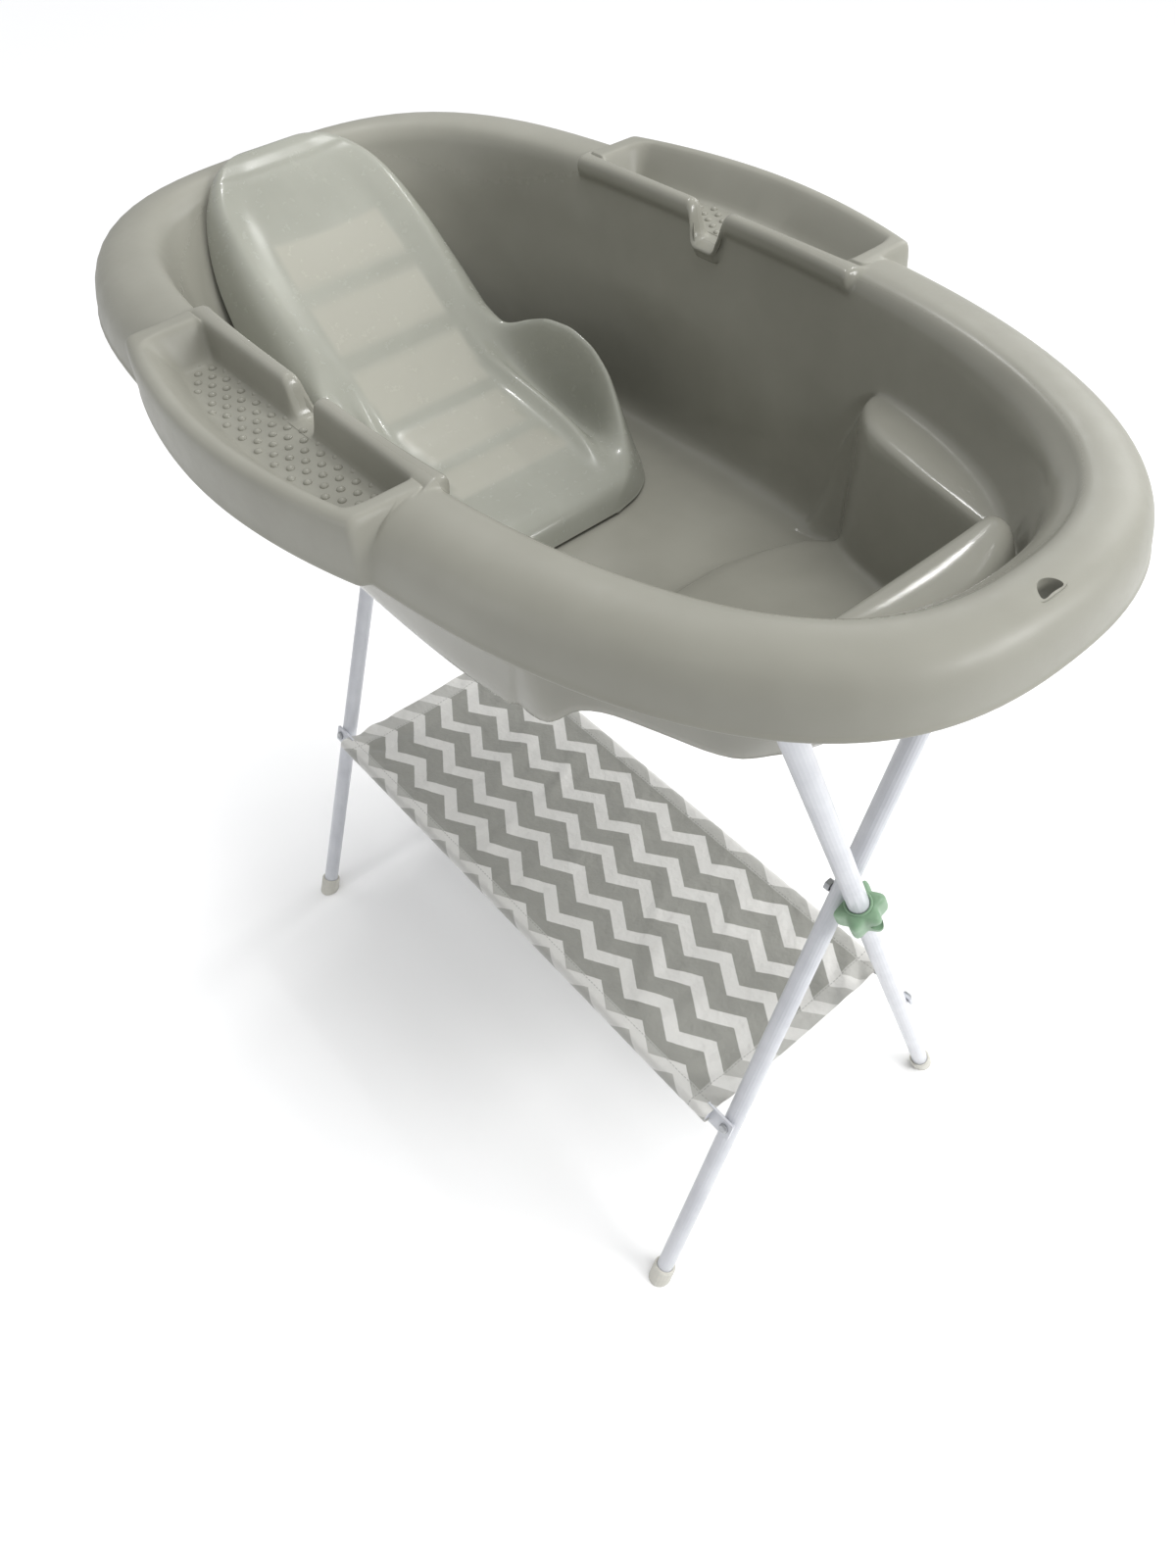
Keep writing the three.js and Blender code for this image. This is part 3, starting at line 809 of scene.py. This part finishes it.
def trayLine(name, side):
    # a raised bead just inside the tray floor's edge
    path = [(x, hoodEdge(x) - tub["hoodSlope"] - bead["outerGap"]) for x in np.linspace(-160, 100, 40)]
    path += [(101.5, 199), (99, 197.6)]
    path += [(x, bead["inner"]) for x in (*np.linspace(90, 0, 8), *np.linspace(-52, -158, 10))]
    bpy.ops.curve.primitive_bezier_curve_add()
    curve = bpy.context.object
    curve.data.splines.clear()
    spline = curve.data.splines.new("POLY")
    spline.points.add(len(path) - 1)
    for point, (x, y) in zip(spline.points, path):
        point.co = (x * mm, side * y * mm, (tub["trayFloor"] + 0.05) * mm, 1)
    spline.use_cyclic_u = True
    curve.data.bevel_depth = bead["radius"] * mm
    curve.data.bevel_resolution = 1
    pick(curve)
    bpy.ops.object.convert(target="MESH")
    piece = named(name)
    settle(piece)
    smooth(piece, 70)
    paintPoints(piece, "gloss", [bead["gloss"]] * len(piece.data.vertices))
    finishOff(piece, "tub", "tub", "tub_plastic")


for label, side in (("near", -1), ("far", 1)):
    dotField("tray_dots_" + label, side)
    trayLine("tray_line_" + label, side)
print("tray dots made")


# x, height of the middle, half width, rise of the sides, inner lip, pit, outer ridge, fall of the flank
seatTable = np.array([
    [-411.5, 913.5, 15, 0, 0, 0, 0, 1],
    [-409.5, 916, 29, 0, 0, 0, 0, 2],
    [-404, 917, 46, 0, 0, 0, 0, 4],
    [-394, 914.5, 66, 1, 0, 0, 0, 9],
    [-382, 908.5, 81, 2, 0, 0, 0, 17],
    [-370, 901, 93, 4, 0, 0, 0, 26],
    [-356, 890.5, 102, 6, 0, 0, 0, 38],
    [-340, 878.5, 108, 8, 0, 0, 0, 48],
    [-310, 854, 114, 11, 0, 0, 2, 60],
    [-270, 823, 117, 11, 0, 0, 3, 62],
    [-230, 792, 117, 11, 1, 0, 4, 60],
    [-207, 774, 117, 11, 2, 2, 6, 58],
    [-188, 762, 124, 13, 4, 10, 18, 56],
    [-165, 752, 134, 15, 6, 22, 34, 58],
    [-135, 745, 139, 15, 7, 28, 42, 60],
    [-105, 740, 139, 14, 7, 28, 41, 60],
    [-80, 737, 134, 12, 6, 20, 32, 48],
    [-58, 735, 125, 9, 4, 9, 16, 34],
    [-38, 733.5, 115, 5, 1, 1, 4, 28],
    [-24, 732, 107, 2, 0, 0, 0, 27],
    [-13, 730, 97, 0, 0, 0, 0, 25],
    [-5, 726, 85, 0, 0, 0, 0, 21],
    [0, 719.5, 74, 0, 0, 0, 0, 14],
    [3, 711, 62, 0, 0, 0, 0, 6],
    [4, 706.5, 52, 0, 0, 0, 0, 1]])
seatBands = [-284, -231, -172, -112]
seatThickness = 3
seatLowest = 706.5
seatPanelRise = 0.9


def seatPanel(x, y):
    # ladder panels between the cross bands
    width = np.interp(x, [-335, -230, -110, -60], [54, 58, 52, 62])
    inside = 1 - ease(abs(y), width - 2, width + 2)
    low = 1 - ease(x, -72, -67)
    high = ease(x, -330, -326)
    band = max(bell(x, b, 6) for b in seatBands)
    return float(inside * low * high * (1 - min(band * 1.7, 1)))


def seatHeight(x, share):
    # share is 0 on the middle line and 1 at either side
    middle, rise, lip, pit, ridge, fall = [np.interp(x, seatTable[:, 0], seatTable[:, k])
                                           for k in (1, 3, 4, 5, 6, 7)]
    t = abs(share)
    z = middle + rise * float(ease(t, 0.42, 0.86))
    z += lip * bell(t, 0.56, 0.05) - pit * bell(t, 0.695, 0.085) + ridge * bell(t, 0.865, 0.075)
    shoulder = np.interp(x, [-404, -350, -240, -185, -60, 0], [0.76, 0.73, 0.66, 0.84, 0.84, 0.8])
    z -= fall * max(0, (t - shoulder) / (1 - shoulder)) ** 1.8
    dish = bell(x, -338, 24) * max(0, 1 - (t / 0.6) ** 2)  # shallow hollow for the head
    return z - 6 * dish


def buildSeat():
    crowding = 0.88  # columns stand closer together towards the sides
    shares = np.sin(np.linspace(-1, 1, 65) * math.pi / 2 * crowding) / math.sin(math.pi / 2 * crowding)
    stations = np.concatenate([np.linspace(-411.5, -380, 20), np.linspace(-376, -24, 84),
                               np.linspace(-20, 4, 13)])
    points, panels = [], []
    for x in stations:
        width = np.interp(x, seatTable[:, 0], seatTable[:, 2])
        for share in shares:
            y = share * width
            panel = seatPanel(x, y)
            panels.append(panel)
            points.append((x, y, max(seatHeight(x, share), seatLowest) + seatPanelRise * panel))
    grid = np.array(points).reshape(len(stations), len(shares), 3)
    # soften the joins between the table's rows
    for _ in range(3):
        inner = grid[1:-1, :, 1:]
        grid[1:-1, :, 1:] = (grid[:-2, :, 1:] + 2 * inner + grid[2:, :, 1:]) / 4
    piece = shapedGrid("seat", grid * mm)
    paintPoints(piece, "panel", panels)
    flipIfDown(piece, (-0.15, 0, 0.75))
    subdivided(piece)
    thickened(piece, seatThickness * mm)
    applyAll(piece)
    smooth(piece, 60)
    return piece


seatPiece = buildSeat()
finishOff(seatPiece, "seat", "seat", "seat_plastic", "seat_insert")
print("seat built", len(seatPiece.data.polygons))


shelf = {
    "rodY": 122.3,
    "rodZ": 256.9,
    "sleeve": 7.4,  # radius of the sleeve round a rod
    "sleeveTop": 0.985,  # share of the radius at which the span leaves it
    "from": -351,
    "to": 313,
    "sag": 11,
    "drop": 2,  # further drop of the whole span
    "hem": 25,
    "hemRise": 0.7,
    "thickness": 0.8,
    "folds": 46,
    "gather": 4.6,  # height of the small gathers at the ends of the rods
    "pucker": 0.35,  # and of the puckers along the sleeves
}


def shelfSection():
    # the cloth's path across: under and round the near rod, over to the far rod and round it
    half, radius = shelf["rodY"], shelf["sleeve"]
    near = [(-half + radius * math.cos(a), shelf["rodZ"] + radius * math.sin(a))
            for a in np.radians(np.linspace(-20, -262, 25))]
    leave = radius * math.cos(math.radians(98))
    span = []
    for t in np.linspace(0, 1, 66)[1:-1]:
        y = -half + leave + t * 2 * (half - leave)
        sag = shelf["sag"] * 4 * t * (1 - t)
        span.append((y, shelf["rodZ"] + radius * shelf["sleeveTop"] - sag))
    return near + span + [(-y, z) for y, z in reversed(near)]


def clothHeight(x, y, z, folds):
    # a point of the section moved by the folds, the gathers, the sag and the hems
    half, radius = shelf["rodY"], shelf["sleeve"]
    fromEnd = min(x - shelf["from"], shelf["to"] - x)
    openness = float(ease(abs(y), half - 2, half - 22))  # 0 round the rods, 1 between them
    side = y / half
    lift = 0
    for where, foldX, width, slant, height in folds:
        nearness = math.exp(-((side - where) / 0.42) ** 2)
        crest = math.exp(-((x - foldX - slant * (y - where * half)) / width) ** 2)
        lift += (1.9 if where < 0 else 1.1) * height * nearness * crest
    gather = math.exp(-fromEnd / 60) * abs(side) ** 2
    lift += gather * shelf["gather"] * math.sin((x + 0.8 * abs(y)) / 5.2)
    endSag = 1 - 0.5 * math.exp(-fromEnd / 28)
    inSpan = abs(y) < half - 1 and z < shelf["rodZ"] + radius
    sag = (shelf["rodZ"] + radius * shelf["sleeveTop"] - z) if inSpan else 0
    change = sag * (1 - endSag) * openness + lift * openness - shelf["drop"] * openness
    pucker = shelf["pucker"] * math.sin(x / 3.3 + 5 * math.sin(x / 41)) * (1 - openness)
    hem = shelf["hemRise"] * (1 - ease(fromEnd, shelf["hem"] - 2, shelf["hem"]))
    return z + change + pucker + hem


def buildShelf():
    section = np.array(shelfSection())
    lengths = np.concatenate([[0], np.cumsum(np.hypot(*np.diff(section, axis=0).T))])
    stations = np.linspace(shelf["from"], shelf["to"], 150)
    rng = np.random.default_rng(11)
    # each fold: which side, place along, width, slant, height
    folds = [(rng.uniform(-1, 1), rng.uniform(shelf["from"], shelf["to"]), rng.uniform(7, 16),
              rng.uniform(-0.7, 0.7), rng.uniform(0.5, 1.6)) for _ in range(shelf["folds"])]
    points = np.empty((len(stations), len(section), 3))
    for i, x in enumerate(stations):
        for j, (y, z) in enumerate(section):
            points[i, j] = (x, y, clothHeight(x, y, z, folds))
    piece = shapedGrid("cloth_shelf", points * mm)
    layer = piece.data.uv_layers.new(name="flat")
    for loop in piece.data.loops:
        i, j = divmod(loop.vertex_index, len(section))
        layer.data[loop.index].uv = (stations[i] * mm, lengths[j] * mm)
    flipIfDown(piece, (0, 0, 0.25))
    thickened(piece, shelf["thickness"] * mm)
    applyAll(piece)
    smooth(piece, 75)
    return piece, lengths[-1]


# lobed collars where the outer legs are joined
hub = {
    "height": 15,  # half, along the leg
    "radius": 18.5,
    "bore": 9.25,
    "socket": 7,  # from the middle to where the leg tubes' bores begin
    "pivot": 530,
    "tilt": 21.18,
    "flat": 10,
    "boltHole": 4.4,
    "headHole": 6.3,  # round the bolt's head
    "headSeat": 12.4,
    "lip": 10.4,  # radius of the lip round the upper tube, and of its bead
    "lipBead": 1.25,
    "clear": 40,  # cutters run out to here
    "x": {"head": -389.5, "foot": 351.5},
}
hubSides = 97
# drop from the end, inset and depth of the lobes
hubSteps = [(0.3, 9.6, 0), (0.2, 7.6, 0.1), (-0.1, 6.6, 0.4), (0.2, 5.2, 0.9), (0.7, 3.2, 1.8),
            (2, 1.1, 2.6), (4.4, 0.1, 3), (8, -0.3, 3), (12, -0.4, 2.9)]


def hubRing(z, inset, lobe):
    ring = []
    for turn in np.linspace(0, 2 * math.pi, hubSides):
        reach = hub["radius"] - inset + lobe * math.cos(6 * turn)
        ring.append((reach * math.cos(turn), reach * math.sin(turn), z))
    return ring


def bar(radius, start, end, axis="Z", sides=48):
    # a round cutter between two places on an axis
    deselectAll()
    turn = {"Z": (0, 0, 0), "X": (0, math.pi / 2, 0)}[axis]
    middle = (start + end) / 2 * mm
    place = (0, 0, middle) if axis == "Z" else (middle, 0, 0)
    bpy.ops.mesh.primitive_cylinder_add(vertices=sides, radius=radius * mm, depth=(end - start) * mm,
                                        location=place, rotation=turn)
    cutter = named("cutter")
    settle(cutter)
    return cutter


def buildHub(label):
    # built upright at the origin, then tilted along the outer leg
    end = 1 if label == "foot" else -1
    high, clear = hub["height"], hub["clear"]
    rings = [hubRing(high - down, inset, lobe) for down, inset, lobe in hubSteps]
    rings += [hubRing(down - high, inset, lobe) for down, inset, lobe in reversed(hubSteps)]
    points = [[(0, 0, high - 0.3)] * hubSides] + rings + [[(0, 0, 0.3 - high)] * hubSides]
    piece = shapedGrid("hub_collar_" + label, np.array(points) * mm)
    weld(piece)
    faceOut(piece)
    deselectAll()
    bpy.ops.mesh.primitive_torus_add(major_radius=hub["lip"] * mm, minor_radius=hub["lipBead"] * mm,
                                     major_segments=48, minor_segments=12,
                                     location=(0, 0, (high + 0.1) * mm))
    lip = named("hub_lip")
    settle(lip)
    bpy.ops.mesh.primitive_cube_add(size=0.08, location=(-end * (hub["flat"] * mm + 0.04), 0, 0))
    block = named("block")
    settle(block)
    carve(piece, block)
    carve(piece, bar(hub["bore"], hub["socket"], clear))
    carve(piece, bar(hub["bore"], -clear, -hub["socket"]))
    carve(piece, bar(hub["boltHole"], -clear, clear, "X", 24))
    seat = (hub["headSeat"], clear) if end > 0 else (-clear, -hub["headSeat"])
    carve(piece, bar(hub["headHole"], *seat, "X", 32))
    piece = joined("hub_collar_" + label, [piece, lip])
    piece.rotation_euler = (math.radians(hub["tilt"]), 0, 0)
    piece.location = (hub["x"][label] * mm, 0, hub["pivot"] * mm)
    settle(piece)
    smooth(piece, 50)
    finishOff(piece, "frame_a", "green", "green_plastic", "hub_" + label)


for label in ("head", "foot"):
    buildHub(label)
print("hubs built")


shelfPiece, shelfWidth = buildShelf()
shelfPiece.data.materials.clear()
shelfPiece.data.materials.append(finishes["cloth"])
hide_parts("shelf_cloth")
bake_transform(shelfPiece)
print("cloth shelf built", shelfWidth)


# finishes on the frame's own parts
for name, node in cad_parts.items():
    for slotIndex, old in enumerate(node.material_slots):
        key = next((slotFinish[slotName] for slotName in slotFinish if slotName in old.material.name), None)
        if key is None:
            print("no finish for", name, old.material.name)
            continue
        node.material_slots[slotIndex].material = finishes[key]

# strengths of the lamps and the sky
studio = {"floor": fromSrgb(251, 251, 251), "sky": 0.42, "key": 2.05, "side": 29, "behind": 12,
          "spark": 3, "strip": 3}


def makeFloor():
    deselectAll()
    bpy.ops.mesh.primitive_plane_add(size=14, location=(0, 0, -0.0005))
    floor = named("floor")
    settle(floor)
    material, *_, shader = newMaterial("floor_finish")
    shader.inputs["Base Color"].default_value = (*studio["floor"], 1)
    shader.inputs["Roughness"].default_value = 0.9
    floor.data.materials.append(material)


def areaLight(name, place, target, size, power):
    deselectAll()
    bpy.ops.object.light_add(type="AREA", location=place)
    lamp = bpy.context.object
    lamp.name = name
    lamp.data.shape = "RECTANGLE"
    lamp.data.size, lamp.data.size_y = size
    lamp.data.energy = power
    lamp.rotation_euler = (Vector(target) - Vector(place)).to_track_quat("-Z", "Y").to_euler()


makeFloor()
middle = (0, 0, 0.7)
bpy.ops.object.light_add(type="SUN", location=(0.4, 0.2, 3))
overhead = bpy.context.object
overhead.name = "overhead"
overhead.data.energy = studio["key"]
overhead.data.angle = math.radians(50)
overhead.rotation_euler = Vector((0.25, 0.12, 1)).to_track_quat("Z", "Y").to_euler()
overhead.visible_glossy = False  # only the lamps below make highlights
areaLight("side", (2.1, 0.9, 1.75), (-0.2, 0, 0.85), (1.0, 0.7), studio["side"])
areaLight("behind", (0.1, 2.3, 1.7), (-0.1, 0, 0.85), (1.6, 0.5), studio["behind"])
areaLight("spark", (-0.75, 0.45, 2.3), middle, (0.16, 0.05), studio["spark"])
areaLight("spark far", (-0.48, 1.33, 2.1), middle, (0.14, 0.04), studio["spark"])
areaLight("near strip", (-0.5, -1.9, 1.35), middle, (0.05, 0.6), studio["strip"])
areaLight("far strip", (0.5, 1.9, 2.1), middle, (0.5, 0.06), studio["strip"])
world = bpy.data.worlds.new("studio")
bpy.context.scene.world = world
world.use_nodes = True
sky = world.node_tree.nodes["Background"]
sky.inputs["Color"].default_value = (0.97, 0.98, 1, 1)
sky.inputs["Strength"].default_value = studio["sky"]

camera = {
    "place": (0.6378, -0.4634, 1.2985),
    "lens": 26.07,
    "right": (0.6382, 0.7676, -0.0594),
    "up": (-0.559, 0.5151, 0.6497),
    "ahead": (-0.5293, 0.3814, -0.7578),
}
bpy.ops.object.camera_add(location=camera["place"])
view = bpy.context.object
view.data.lens = camera["lens"]
view.data.sensor_width = 36
view.data.sensor_fit = "AUTO"
right, up, ahead = (Vector(camera[k]).normalized() for k in ("right", "up", "ahead"))
turn = Matrix((right, up, -ahead)).transposed()
view.rotation_euler = turn.to_euler()
bpy.context.scene.camera = view
bpy.context.scene.view_settings.view_transform = "Standard"
